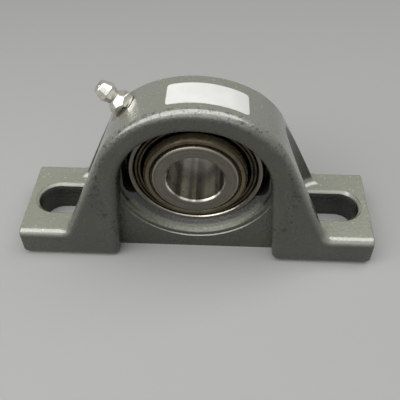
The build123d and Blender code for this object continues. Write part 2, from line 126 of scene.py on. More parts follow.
# --- sizes and colours -----------------------------------------------------------------------
class CastingPaint(bpy.types.PropertyGroup):
    """Grey-green enamel on the cast housing."""

    colour: FloatVectorProperty(
        name="Paint", description="Enamel colour", subtype="COLOR", size=3, min=0, max=1,
        default=(0.072, 0.076, 0.054),
    )
    shade: FloatVectorProperty(
        name="Paint shade", description="Enamel colour in its darker clouds",
        subtype="COLOR", size=3, min=0, max=1,
        default=(0.059, 0.062, 0.044),
    )
    # Dust, and painted light on what faces up: the enamel's upward faces take this colour.
    dust_and_top_light: FloatVectorProperty(
        name="Dust", description="Enamel colour where dust lies on it",
        subtype="COLOR", size=3, min=0, max=1,
        default=(0.305, 0.316, 0.232),
    )
    # Bare iron in the chips; on the foot slots' walls this colour is painted shade.
    iron: FloatVectorProperty(
        name="Iron", description="Bare iron in the chips and the slots",
        subtype="COLOR", size=3, min=0, max=1,
        default=(0.012, 0.012, 0.010),
    )
    grain: FloatProperty(
        name="Grain", description="Width of one bump of the cast skin", default=0.9 * MM, min=0.1 * MM,
        subtype="DISTANCE", unit="LENGTH",
    )
    relief: FloatProperty(
        name="Relief", description="Height of the cast skin's bumps", default=0.34 * MM, min=0,
        subtype="DISTANCE", unit="LENGTH",
    )
    chips: FloatProperty(
        name="Chips", description="Share of the front rim where the enamel is chipped", default=0.215,
        min=0, max=1, subtype="FACTOR",
    )


class BearingSteel(bpy.types.PropertyGroup):
    """Ground steel of the rings, plated sheet of the seals and steel of the collar."""

    ring: FloatVectorProperty(
        name="Ring", description="Ground ring steel", subtype="COLOR", size=3, min=0, max=1,
        default=(0.20, 0.186, 0.158),
    )
    sheet: FloatVectorProperty(
        name="Shield", description="Sheet of the seal shields", subtype="COLOR", size=3, min=0, max=1,
        default=(0.075, 0.065, 0.045),
    )
    flinger: FloatVectorProperty(
        name="Flinger", description="Yellow plating of the flingers",
        subtype="COLOR", size=3, min=0, max=1,
        default=(0.155, 0.13, 0.08),
    )
    collar: FloatVectorProperty(
        name="Collar", description="Turned collar steel", subtype="COLOR", size=3, min=0, max=1,
        default=(0.20, 0.20, 0.19),
    )
    turning: FloatProperty(
        name="Turning pitch", description="Spacing of the turning marks", default=0.25 * MM, min=0.01 * MM,
        subtype="DISTANCE", unit="LENGTH",
    )


class FittingShape(bpy.types.PropertyGroup):
    """Grease fitting: hexagon, neck and tapered head."""

    hexagon: FloatProperty(
        name="Hexagon", description="Width across the flats", default=7.94 * MM, min=1 * MM,
        subtype="DISTANCE", unit="LENGTH",
    )
    hexagon_height: FloatProperty(
        name="Hexagon height", description="Height at which the hexagon's bevel meets the neck",
        default=4.3 * MM, min=0.5 * MM, subtype="DISTANCE", unit="LENGTH",
    )
    neck: FloatProperty(
        name="Neck", description="Radius of the neck", default=2.41 * MM, min=0.5 * MM,
        subtype="DISTANCE", unit="LENGTH",
    )
    head: FloatProperty(
        name="Head", description="Radius of the head", default=3.2 * MM, min=0.5 * MM,
        subtype="DISTANCE", unit="LENGTH",
    )
    tip: FloatProperty(
        name="Tip", description="Radius of the head's tip", default=2.3 * MM, min=0.5 * MM,
        subtype="DISTANCE", unit="LENGTH",
    )
    length: FloatProperty(
        name="Length", description="Height of the tip above the seat", default=10.2 * MM, min=2 * MM,
        subtype="DISTANCE", unit="LENGTH",
    )
    zinc: FloatVectorProperty(
        name="Zinc", description="Bright zinc plate", subtype="COLOR", size=3, min=0, max=1,
        default=(0.82, 0.81, 0.73),
    )


class LabelSheet(bpy.types.PropertyGroup):
    """Bare adhesive label on the crown."""

    paper: FloatVectorProperty(
        name="Paper", description="Label face", subtype="COLOR", size=3, min=0, max=1,
        default=(0.80, 0.81, 0.77),
    )


class StudioStage(bpy.types.PropertyGroup):
    """Floor, lamps and camera."""

    floor: FloatVectorProperty(
        name="Floor", description="Floor colour", subtype="COLOR", size=3, min=0, max=1,
        default=(0.44, 0.44, 0.43),
    )
    bounce: FloatProperty(
        name="Bounce", description="Share of the floor's colour that it throws back on the object",
        default=0.12, min=0, max=1, subtype="FACTOR",
    )
    overhead: FloatProperty(
        name="Overhead", description="Power of the overhead lamp", default=8.9, min=0, unit="POWER",
    )
    front: FloatProperty(
        name="Front", description="Power of the lamp before the object", default=3.5, min=0, unit="POWER",
    )
    surround: FloatProperty(
        name="Surround", description="Strength of the surrounding light", default=0.05, min=0,
    )
    backdrop: FloatProperty(
        name="Backdrop", description="Tone of the surround that the camera, metal and glass see",
        default=0.42, min=0,
    )
    lens: FloatProperty(
        name="Lens", description="Focal length in millimetres", default=50.25, min=10, unit="CAMERA",
    )


SETTINGS = {
    "casting_paint": CastingPaint,
    "bearing_steel": BearingSteel,
    "fitting_shape": FittingShape,
    "label_sheet": LabelSheet,
    "studio_stage": StudioStage,
}


# --- node helpers ----------------------------------------------------------------------------
def put(tree, kind, column, row, inputs=None, **settings):
    """Adds a node at a column and row of the tree, with its settings and its unlinked inputs' values."""
    made = tree.nodes.new(kind)
    made.location = (column * NODE_GRID, -row * NODE_GRID)
    for name, value in settings.items():
        setattr(made, name, value)
    for name, value in (inputs or {}).items():
        made.inputs[name].default_value = value
    return made


def feed(tree, socket, value):
    """Gives an input its value: a socket is linked, a number is set, a colour is set opaque."""
    if hasattr(value, "is_linked"):
        tree.links.new(value, socket)
    elif isinstance(value, (int, float)):
        socket.default_value = value
    else:
        socket.default_value = (*value, 1)


def math_node(tree, operation, column, row, *values):
    """Adds a Math node; each value is a number or a socket."""
    made = put(tree, "ShaderNodeMath", column, row, operation=operation)
    for socket, value in zip(made.inputs, values):
        feed(tree, socket, value)
    return made.outputs[0]


def smooth_step(tree, value, low, high, column, row):
    """Adds a smooth Map Range from 0 at low to 1 at high."""
    limits = {"From Min": low, "From Max": high}
    made = put(tree, "ShaderNodeMapRange", column, row, limits, interpolation_type="SMOOTHSTEP")
    tree.links.new(value, made.inputs["Value"])
    return made.outputs["Result"]


def between(tree, value, low, high, column, row, start=0.0, end=1.0):
    """Adds a linear Map Range that goes from low to high while the value goes from start to end."""
    limits = {"From Min": start, "From Max": end, "To Min": low, "To Max": high}
    made = put(tree, "ShaderNodeMapRange", column, row, limits)
    tree.links.new(value, made.inputs["Value"])
    return made.outputs["Result"]


def blend_colour(tree, factor, first, second, column, row):
    """Adds a colour mix; each colour is a tuple or a socket."""
    made = put(tree, "ShaderNodeMix", column, row, data_type="RGBA")
    for socket, value in ((made.inputs[0], factor), (made.inputs[6], first), (made.inputs[7], second)):
        feed(tree, socket, value)
    return made.outputs[2]


def noise_field(tree, vector, scale, column, row, **shape):
    """Adds a noise texture read at a vector; its scale is a number or a socket."""
    made = put(tree, "ShaderNodeTexNoise", column, row, shape)
    tree.links.new(vector, made.inputs["Vector"])
    feed(tree, made.inputs["Scale"], scale)
    return made.outputs["Fac"]


def axes(tree, vector, column, row):
    """Splits a vector and returns its sockets X, Y and Z."""
    made = put(tree, "ShaderNodeSeparateXYZ", column, row)
    tree.links.new(vector, made.inputs[0])
    return made.outputs


def gained(colour, gain):
    """A colour times a gain, held at white."""
    return tuple(min(1, gain * channel) for channel in colour)


def new_group(name, inputs, outputs):
    """Makes a shader node group with named sockets; returns its tree, its input node and its output node."""
    tree = bpy.data.node_groups.new(name, "ShaderNodeTree")
    for socket, kind, value in inputs:
        made = tree.interface.new_socket(socket, in_out="INPUT", socket_type=kind)
        if value is not None:
            made.default_value = value
    for socket, kind in outputs:
        tree.interface.new_socket(socket, in_out="OUTPUT", socket_type=kind)
    entry = put(tree, "NodeGroupInput", -1, 0)
    leave = put(tree, "NodeGroupOutput", 8, 0)
    return tree, entry, leave


def use_group(tree, group, column, row, links, **values):
    """Places a group in a material, links its sockets and sets the rest."""
    made = put(tree, "ShaderNodeGroup", column, row, node_tree=bpy.data.node_groups[group])
    for name, value in values.items():
        made.inputs[name].default_value = value
    for name, socket in links.items():
        tree.links.new(socket, made.inputs[name])
    return made


def new_material(name, **shader):
    """Makes a material with a Principled BSDF whose constants are set on its own sockets."""
    made = bpy.data.materials.new(name)
    made.use_nodes = True
    tree = made.node_tree
    surface = tree.nodes["Principled BSDF"]
    surface.location = (9 * NODE_GRID, 0)
    tree.nodes["Material Output"].location = (10.5 * NODE_GRID, 0)
    for socket, value in shader.items():
        surface.inputs[socket.replace("_", " ")].default_value = value
    place = put(tree, "ShaderNodeTexCoord", -2, 0)
    return made, tree, surface, place.outputs["Object"]


def bump(tree, surface, height, distance):
    """Feeds a height through a Bump node into the surface normal."""
    made = put(tree, "ShaderNodeBump", 7, 3, {"Strength": 1.0, "Distance": distance})
    tree.links.new(height, made.inputs["Height"])
    tree.links.new(made.outputs["Normal"], surface.inputs["Normal"])


# --- shared effects --------------------------------------------------------------------------
def group_cast_skin():
    """Rounded bumps of a sand-cast skin with a finer tooth, sparse specks on the bumps for painted glints,
    and wide clouds.
    """
    tree, entry, leave = new_group(
        "Cast Skin",
        [("Vector", "NodeSocketVector", None), ("Grain", "NodeSocketFloat", 1 * MM)],
        [("Height", "NodeSocketFloat"), ("Glints", "NodeSocketFloat"), ("Clouds", "NodeSocketFloat")],
    )
    place = entry.outputs["Vector"]
    finer, wider = 2.7, 0.06
    scale = math_node(tree, "DIVIDE", 0, 1, 1.0, entry.outputs["Grain"])
    tooth_scale = math_node(tree, "MULTIPLY", 1, 2, scale, finer)
    cloud_scale = math_node(tree, "MULTIPLY", 1, 3, scale, wider)
    bumps = noise_field(tree, place, scale, 2, 0, Detail=2, Roughness=0.45)
    tooth = noise_field(tree, place, tooth_scale, 2, 1, Detail=3, Roughness=0.6)
    clouds = noise_field(tree, place, cloud_scale, 2, 2, Detail=3, Roughness=0.55)
    bump_share = 0.75
    coarse = math_node(tree, "MULTIPLY", 3, 0, bumps, bump_share)
    fine = math_node(tree, "MULTIPLY", 3, 1, tooth, 1 - bump_share)
    tree.links.new(math_node(tree, "ADD", 4, 0, coarse, fine), leave.inputs["Height"])
    tree.links.new(smooth_step(tree, bumps, 0.68, 0.74, 4, 1), leave.inputs["Glints"])
    tree.links.new(smooth_step(tree, clouds, 0.38, 0.66, 4, 2), leave.inputs["Clouds"])


def group_round_shaft():
    """Distance from the shaft axis, turn about it and place along it, in metres and turns."""
    tree, entry, leave = new_group(
        "Round Shaft",
        [("Vector", "NodeSocketVector", None), ("Shaft Height", "NodeSocketFloat", SHAFT_HEIGHT)],
        [("Radius", "NodeSocketFloat"), ("Turn", "NodeSocketFloat"), ("Along", "NodeSocketFloat")],
    )
    place = axes(tree, entry.outputs["Vector"], 0, 0)
    up = math_node(tree, "SUBTRACT", 1, 1, place["Z"], entry.outputs["Shaft Height"])
    across = math_node(tree, "MULTIPLY", 2, 0, place["X"], place["X"])
    square = math_node(tree, "MULTIPLY_ADD", 3, 0, up, up, across)
    tree.links.new(math_node(tree, "SQRT", 4, 0, square), leave.inputs["Radius"])
    turn = math_node(tree, "ARCTAN2", 3, 2, place["X"], up)
    tree.links.new(math_node(tree, "DIVIDE", 4, 2, turn, 2 * math.pi), leave.inputs["Turn"])
    tree.links.new(place["Y"], leave.inputs["Along"])


def group_turning_marks():
    """Fine rings left by turning or grinding: noise that is long round the axis and short across it."""
    tree, entry, leave = new_group(
        "Turning Marks",
        [
            ("Radius", "NodeSocketFloat", 0.0), ("Turn", "NodeSocketFloat", 0.0),
            ("Along", "NodeSocketFloat", 0.0), ("Pitch", "NodeSocketFloat", 0.25 * MM),
        ],
        [("Height", "NodeSocketFloat"), ("Tone", "NodeSocketFloat")],
    )
    scale = math_node(tree, "DIVIDE", 0, 0, 1.0, entry.outputs["Pitch"])
    radius = math_node(tree, "MULTIPLY", 1, 0, entry.outputs["Radius"], scale)
    along = math_node(tree, "MULTIPLY", 1, 1, entry.outputs["Along"], scale)
    turn = math_node(tree, "MULTIPLY", 1, 2, entry.outputs["Turn"], 3.0)
    place = put(tree, "ShaderNodeCombineXYZ", 2, 0)
    for socket, value in zip(place.inputs, (radius, along, turn)):
        tree.links.new(value, socket)
    marks = noise_field(tree, place.outputs[0], 1.0, 3, 0, Detail=2.0, Roughness=0.6)
    tree.links.new(marks, leave.inputs["Height"])
    tree.links.new(smooth_step(tree, marks, 0.3, 0.7, 4, 1), leave.inputs["Tone"])


def group_oil_film():
    """Thin oil and handling marks: soft clouds that dull and darken a surface."""
    tree, entry, leave = new_group(
        "Oil Film",
        [("Vector", "NodeSocketVector", None), ("Size", "NodeSocketFloat", 6 * MM)],
        [("Film", "NodeSocketFloat")],
    )
    scale = math_node(tree, "DIVIDE", 0, 0, 1.0, entry.outputs["Size"])
    clouds = noise_field(tree, entry.outputs["Vector"], scale, 2, 0, Detail=4, Roughness=0.62, Distortion=0.4)
    tree.links.new(smooth_step(tree, clouds, 0.42, 0.68, 3, 0), leave.inputs["Film"])


def group_rim_chips():
    """Small sharp-edged spots where a mask is high: noise that the mask raises, cut at a fixed level."""
    tree, entry, leave = new_group(
        "Rim Chips",
        [
            ("Vector", "NodeSocketVector", None), ("Mask", "NodeSocketFloat", 0.0),
            ("Share", "NodeSocketFloat", 0.2), ("Size", "NodeSocketFloat", 1.2 * MM),
        ],
        [("Chips", "NodeSocketFloat")],
    )
    scale = math_node(tree, "DIVIDE", 0, 0, 1.0, entry.outputs["Size"])
    spots = noise_field(tree, entry.outputs["Vector"], scale, 2, 0, Detail=3, Roughness=0.7, Distortion=0.3)
    reach = math_node(tree, "MULTIPLY", 2, 1, entry.outputs["Mask"], entry.outputs["Share"])
    raised = math_node(tree, "ADD", 3, 0, spots, reach)
    tree.links.new(smooth_step(tree, raised, 0.78, 0.80, 4, 0), leave.inputs["Chips"])


def make_groups():
    """Makes each shared group once."""
    makers = {
        "Cast Skin": group_cast_skin,
        "Round Shaft": group_round_shaft,
        "Turning Marks": group_turning_marks,
        "Oil Film": group_oil_film,
        "Rim Chips": group_rim_chips,
    }
    for name, make in makers.items():
        if name not in bpy.data.node_groups:
            make()


# --- masks -----------------------------------------------------------------------------------
def zone(tree, value, name, column, row, offset=0.0):
    """Mask of one of the zones, 0 where it begins and 1 where it is full, moved by an offset in metres."""
    start, full = (offset + edge * MM for edge in ZONES[name])
    return smooth_step(tree, value, start, full, column, row)


def radius_band(tree, radius, low, high, column, row):
    """Mask that is 1 between two distances from the shaft in millimetres, with soft edges."""
    soft = 0.12 * MM
    above = smooth_step(tree, radius, low * MM - soft, low * MM + soft, column, row)
    below = smooth_step(tree, radius, high * MM + soft, high * MM - soft, column, row + 1)
    return math_node(tree, "MULTIPLY", column + 1, row, above, below)


def rim_mask(tree, shaft):
    """Mask of the arch's outer front edge, which ends above the legs."""
    outer = zone(tree, shaft.outputs["Radius"], "rim", 1, 2)
    above_legs = zone(tree, shaft.outputs["Radius"], "rim_end", 1, 4)
    front = zone(tree, shaft.outputs["Along"], "rim_front", 1, 3)
    return math_node(tree, "MULTIPLY", 2, 2, math_node(tree, "MULTIPLY", 2, 4, outer, above_legs), front)


def oil_and_shade_mask(tree, shaft, height):
    """Mask of the seat and of the loading slots beside the ring, which are dark with oil and with painted
    shade.
    """
    seat = zone(tree, shaft.outputs["Radius"], "seat", 3, 7)
    depth = zone(tree, shaft.outputs["Along"], "pocket_front", 3, 8)
    reach = zone(tree, shaft.outputs["Radius"], "pocket", 3, 9)
    above_lip = zone(tree, height, "pocket_foot", 3, 10, SHAFT_HEIGHT)
    pocket = math_node(tree, "MULTIPLY", 4, 8, depth, math_node(tree, "MULTIPLY", 4, 10, reach, above_lip))
    return math_node(tree, "MAXIMUM", 4, 9, seat, pocket)


def slot_masks(tree, place):
    """Masks of the foot slots' walls below the foot's top, painted as shade, and of the lip round each slot's
    mouth, painted as a highlight.

    Both follow the distance from the slot's middle line: the square root of y squared plus the square of
    how far x lies past the end of that line.
    """
    spot = axes(tree, place, 0, 8)
    spacing = SLOTS["dims"]["spacing_x_mm"] * MM / 2
    reach = SLOTS["dims"]["hole_r_mm"] * MM
    straight = SLOTS["dims"]["slot_length_mm"] * MM / 2 - reach
    foot_top = SLOTS["pos_m"][2]
    side = math_node(tree, "ABSOLUTE", 1, 8, spot["X"])
    middle = math_node(tree, "ABSOLUTE", 2, 8, math_node(tree, "SUBTRACT", 1, 9, side, spacing))
    past = math_node(tree, "MAXIMUM", 3, 8, math_node(tree, "SUBTRACT", 2, 9, middle, straight), 0.0)
    square = math_node(tree, "MULTIPLY", 3, 9, spot["Y"], spot["Y"])
    away = math_node(tree, "SQRT", 5, 8, math_node(tree, "MULTIPLY_ADD", 4, 8, past, past, square))
    inside = zone(tree, away, "slot_wall", 6, 8, reach)
    below = zone(tree, spot["Z"], "slot_shade_depth", 6, 9, foot_top)
    walls = math_node(tree, "MULTIPLY", 7, 8, inside, below)
    beside = zone(tree, away, "slot_lip_highlight", 6, 10, reach)
    above = zone(tree, spot["Z"], "slot_mouth", 6, 11, foot_top)
    return walls, math_node(tree, "MULTIPLY", 7, 10, beside, above)


# --- finishes --------------------------------------------------------------------------------
def enamel(paint):
    """Grey-green enamel over cast iron: dusty tops that also carry painted light, a bumpy skin, chips along
    the arch's front rim.
    """
    made, tree, surface, place = new_material("casting_enamel", IOR=1.7, Coat_IOR=2.15, Coat_Roughness=0.19)
    dust_and_top_light, iron = tuple(paint.dust_and_top_light), tuple(paint.iron)
    skin = use_group(tree, "Cast Skin", 0, 0, {"Vector": place}, Grain=paint.grain)
    shaft = use_group(tree, "Round Shaft", 0, 2, {"Vector": place})
    facing = put(tree, "ShaderNodeNewGeometry", -1, 6)
    upward = axes(tree, facing.outputs["Normal"], 0, 6)["Z"]
    height = axes(tree, place, 0, 7)["Z"]
    clouded = blend_colour(tree, skin.outputs["Clouds"], tuple(paint.shade), tuple(paint.colour), 2, 0)

    # Dust and painted light lie on what faces up, and more of them on the feet than on the crown.
    level = smooth_step(tree, upward, *ENAMEL.dust_and_light_slope, 1, 6)
    share = between(tree, height, ENAMEL.foot_dust_and_light, ENAMEL.crown_dust_and_light, 1, 7, ENAMEL.foot, ENAMEL.crown)
    dusty = math_node(tree, "MULTIPLY", 2, 6, level, share)
    dust_and_light_coloured = blend_colour(tree, dusty, clouded, dust_and_top_light, 3, 0)
    # Light specks on the bumps' tops are painted glints, thickest where it is dusty.
    glint_share = math_node(tree, "MULTIPLY_ADD", 2, 1, dusty, ENAMEL.glints_in_dust, ENAMEL.specks)
    specks = math_node(tree, "MULTIPLY", 3, 1, skin.outputs["Glints"], glint_share)
    glinted = blend_colour(tree, specks, dust_and_light_coloured, gained(dust_and_top_light, ENAMEL.glint_gain), 4, 0)

    # Dark places: chips on the rim; the seat and its loading slots, dark with oil and painted shade; and the
    # foot slots' walls, painted shade. The lips round the foot slots' mouths carry a painted highlight.
    rim = rim_mask(tree, shaft)
    chips = use_group(tree, "Rim Chips", 3, 2, {"Vector": place, "Mask": rim}, Share=paint.chips)
    chipped = blend_colour(tree, chips.outputs["Chips"], glinted, iron, 5, 0)
    oily = math_node(tree, "MULTIPLY", 4, 7, oil_and_shade_mask(tree, shaft, height), ENAMEL.oil)
    oil_and_shade_darkened = blend_colour(tree, oily, chipped, iron, 5, 7)
    # The walls' mask paints shade in the slots; the lip's mask paints a highlight round their mouths.
    bare, lip = slot_masks(tree, place)
    lip_highlight = math_node(tree, "MULTIPLY", 6, 7, lip, ENAMEL.lip)
    lip_highlighted = blend_colour(tree, lip_highlight, oil_and_shade_darkened, gained(dust_and_top_light, ENAMEL.lip_highlight_gain), 6, 1)
    tree.links.new(blend_colour(tree, bare, lip_highlighted, iron, 6, 0), surface.inputs["Base Color"])

    film = use_group(tree, "Oil Film", 3, 4, {"Vector": place}, Size=ENAMEL.oil_patch)
    gloss = between(tree, film.outputs["Film"], ENAMEL.clean, ENAMEL.oily, 4, 4)
    dull = math_node(tree, "MULTIPLY", 4, 3, chips.outputs["Chips"], ENAMEL.chip_roughness)
    tree.links.new(math_node(tree, "ADD", 5, 4, gloss, dull), surface.inputs["Roughness"])

    # The enamel ran thicker and glossier on what faces up. The slots' walls and the opening have lost it.
    thick = smooth_step(tree, upward, *ENAMEL.coat_slope, 1, 5)
    coat = between(tree, thick, ENAMEL.side_coat, ENAMEL.top_coat, 7, 4)
    inside = zone(tree, shaft.outputs["Radius"], "opening", 6, 6)
    worn = math_node(tree, "MULTIPLY", 7, 6, inside, ENAMEL.coat_lost_inside)
    kept = math_node(tree, "SUBTRACT", 7, 5, 1.0, math_node(tree, "MAXIMUM", 7, 7, bare, worn))
    tree.links.new(math_node(tree, "MULTIPLY", 8, 4, coat, kept), surface.inputs["Coat Weight"])

    sunk = math_node(tree, "MULTIPLY", 4, 2, chips.outputs["Chips"], ENAMEL.chip_height)
    bump(tree, surface, math_node(tree, "ADD", 5, 2, skin.outputs["Height"], sunk), paint.relief)
    return made


def bore_reflection_streaks(tree, shaft, colour):
    """Mask of the bore and its finish: light and dark bands, grinding marks and painted reflection, that
    depend on the turn and fade with depth.
    """
    inside = zone(tree, shaft.outputs["Radius"], "bore", 4, 4)
    spacing = {"Scale": STEEL.reflection_streaks_per_turn, "Detail": 2.0}
    noise = put(tree, "ShaderNodeTexNoise", 4, 5, spacing, noise_dimensions="1D")
    tree.links.new(shaft.outputs["Turn"], noise.inputs["W"])
    band = smooth_step(tree, noise.outputs["Fac"], 0.36, 0.64, 5, 5)
    shallow = zone(tree, shaft.outputs["Along"], "bore_mouth", 4, 8)
    strength = math_node(tree, "MULTIPLY_ADD", 5, 8, shallow, STEEL.shallow_reflection_streaks, STEEL.deep_reflection_streaks)
    band = math_node(tree, "MULTIPLY", 6, 7, band, strength)
    dark, bright = gained(colour, STEEL.dark_reflection_streak), gained(colour, STEEL.bright_reflection_streak)
    return inside, blend_colour(tree, band, dark, bright, 6, 5)


def turned_steel(
    name, colour, pitch, roughness=0.3, relief=0.003 * MM, tone=0.25, rubbed_highlight=None, reflection_streaked=False,
):
    """Turned or ground steel with rings about the shaft and an oil film.

    The front face may have a band worn bright that is also a painted highlight: an inner and an outer
    radius in millimetres, and a gain. A bore may have bands along the shaft, grinding marks and painted
    reflection.
    """
    made, tree, surface, place = new_material(name, Metallic=1.0)
    shaft = use_group(tree, "Round Shaft", 0, 0, {"Vector": place})
    reading = {socket: shaft.outputs[socket] for socket in ("Radius", "Turn", "Along")}
    marks = use_group(tree, "Turning Marks", 2, 0, reading, Pitch=pitch)
    film = use_group(tree, "Oil Film", 2, 2, {"Vector": place}, Size=STEEL.oil_patch)
    finish = blend_colour(tree, marks.outputs["Tone"], gained(colour, 1 - tone), colour, 4, 0)
    filmed = math_node(tree, "MULTIPLY", 4, 2, film.outputs["Film"], STEEL.oil)
    finish = blend_colour(tree, filmed, finish, gained(colour, STEEL.oil_gain), 5, 0)
    if rubbed_highlight:
        low, high, gain = rubbed_highlight
        # A band worn bright that is also a painted highlight, on the front face only.
        edge = radius_band(tree, shaft.outputs["Radius"], low, high, 4, 6)
        face = zone(tree, shaft.outputs["Along"], "ring_face", 5, 7)
        edge = math_node(tree, "MULTIPLY", 6, 6, edge, face)
        finish = blend_colour(tree, edge, finish, gained(colour, gain), 6, 1)
    if reflection_streaked:
        # Grinding marks and painted reflection in the bore.
        inside, reflection_streaks = bore_reflection_streaks(tree, shaft, colour)
        finish = blend_colour(tree, inside, finish, reflection_streaks, 7, 0)
    tree.links.new(finish, surface.inputs["Base Color"])
    gloss = between(tree, film.outputs["Film"], roughness * STEEL.clean, roughness * STEEL.oily, 5, 2)
    tree.links.new(gloss, surface.inputs["Roughness"])
    bump(tree, surface, marks.outputs["Height"], relief)
    return made


def pressed_sheet(name, colour, roughness, metallic=1.0, band=None):
    """Pressed and plated sheet: cloudy plating with a fine drawn grain.

    It may have a band of another tone: an inner and an outer radius in millimetres, and a colour.
    """
    made, tree, surface, place = new_material(name, Metallic=metallic)
    film = use_group(tree, "Oil Film", 2, 0, {"Vector": place}, Size=SHEET.oil_patch)
    skin = use_group(tree, "Cast Skin", 2, 2, {"Vector": place}, Grain=SHEET.grain)
    plated = blend_colour(tree, film.outputs["Film"], colour, gained(colour, SHEET.oil_gain), 4, 0)
    if band:
        low, high, other = band
        shaft = use_group(tree, "Round Shaft", 2, 4, {"Vector": place})
        mask = radius_band(tree, shaft.outputs["Radius"], low, high, 3, 4)
        plated = blend_colour(tree, mask, plated, other, 5, 0)
    tree.links.new(plated, surface.inputs["Base Color"])
    gloss = between(tree, film.outputs["Film"], roughness * SHEET.clean, roughness * SHEET.oily, 5, 2)
    tree.links.new(gloss, surface.inputs["Roughness"])
    bump(tree, surface, skin.outputs["Height"], SHEET.relief)
    return made


def lip_rubber():
    """Black nitrile rubber with a dusty bloom."""
    made, tree, surface, place = new_material("lip_rubber", Roughness=0.55)
    rubber = (0.012, 0.012, 0.012)
    bloom = (0.03, 0.029, 0.027)
    film = use_group(tree, "Oil Film", 2, 0, {"Vector": place}, Size=3 * MM)
    bloomed = blend_colour(tree, film.outputs["Film"], rubber, bloom, 4, 0)
    tree.links.new(bloomed, surface.inputs["Base Color"])
    skin = use_group(tree, "Cast Skin", 2, 2, {"Vector": place}, Grain=0.3 * MM)
    bump(tree, surface, skin.outputs["Height"], 0.01 * MM)
    return made


def bare_paper(colour):
    """Coated paper of a bare label: faint fibre tone and a low sheen."""
    made, tree, surface, place = new_material(
        "label_paper", Roughness=0.42, Coat_Weight=0.2, Coat_Roughness=0.2,
    )
    skin = use_group(tree, "Cast Skin", 1, 0, {"Vector": place}, Grain=0.5 * MM)
    fibres = blend_colour(tree, skin.outputs["Clouds"], gained(colour, 0.93), colour, 4, 0)
    tree.links.new(fibres, surface.inputs["Base Color"])
    bump(tree, surface, skin.outputs["Height"], 0.012 * MM)
    return made


def dress(material, *nodes):
    """Gives CAD nodes a material in their own slot."""
    for name in nodes:
        piece = frame["nodes"][name]
        piece.data.materials.clear()
        piece.data.materials.append(material)


# --- surfaces --------------------------------------------------------------------------------
def grid_faces(rows, columns):
    """Quads of a grid of points, row by row, wrapped round in both directions."""
    row, column = np.meshgrid(np.arange(rows), np.arange(columns), indexing="ij")
    next_row = (row + 1) % rows
    next_column = (column + 1) % columns
    quads = np.stack(
        [row * columns + column, row * columns + next_column, next_row * columns + next_column,
         next_row * columns + column], axis=-1,
    )
    return quads.reshape(-1, 4)


def add_surface(name, points, faces, material, body, slot, *replaced, crease_angle=40):
    """Adds a piece that rides a body and replaces nodes: points and faces, smooth up to a crease angle."""
    mesh = bpy.data.meshes.new(name)
    mesh.from_pydata(points.reshape(-1, 3).tolist(), [], faces.tolist())
    mesh.validate()
    mesh.materials.append(material)
    piece = bpy.data.objects.new(name, mesh)
    bpy.context.scene.collection.objects.link(piece)
    mesh.set_sharp_from_angle(angle=math.radians(crease_angle))
    mesh.polygons.foreach_set("use_smooth", np.ones(len(mesh.polygons), bool))
    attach(piece, body)
    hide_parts(*replaced)


def outward(points, faces):
    """Points and faces, turned round if their volume, a sum of pyramids on the origin, is negative."""
    a, b, c, d = (points.reshape(-1, 3)[faces[:, k]] for k in range(4))
    volume = np.sum(np.cross(a, b) * c) + np.sum(np.cross(a, c) * d)
    return points, faces if volume > 0 else faces[:, ::-1]


def divided(outline, step):
    """Closed outline with points added along each side, so that none is longer than a step."""
    side = np.roll(outline, -1, axis=0) - outline
    count = np.maximum(np.ceil(np.linalg.norm(side, axis=1) / step), 1).astype(int)
    start = np.repeat(np.arange(len(outline)), count)
    part = np.arange(count.sum()) - np.repeat(np.cumsum(count) - count, count)
    return outline[start] + side[start] * (part / np.repeat(count, count))[:, None]


def rounded_corner(before, corner, after, radius):
    """Points of a rounded corner: a quadratic curve between points a radius away from it on each side.

    Neither of these lies further off than a share of the side, so that neighbours don't meet.
    """
    before, corner, after = (np.asarray(point, float) for point in (before, corner, after))
    share = 0.45
    start = corner + (before - corner) * min(share, radius / np.linalg.norm(before - corner))
    end = corner + (after - corner) * min(share, radius / np.linalg.norm(after - corner))
    t = np.linspace(0, 1, 4)[:, None]
    return (1 - t) ** 2 * start + 2 * t * (1 - t) * corner + t**2 * end


def rounded_loop(corners, radius):
    """Closed outline through corners, each rounded alike."""
    count = len(corners)
    return np.concatenate([
        rounded_corner(corners[k - 1], corners[k], corners[(k + 1) % count], radius) for k in range(count)
    ])


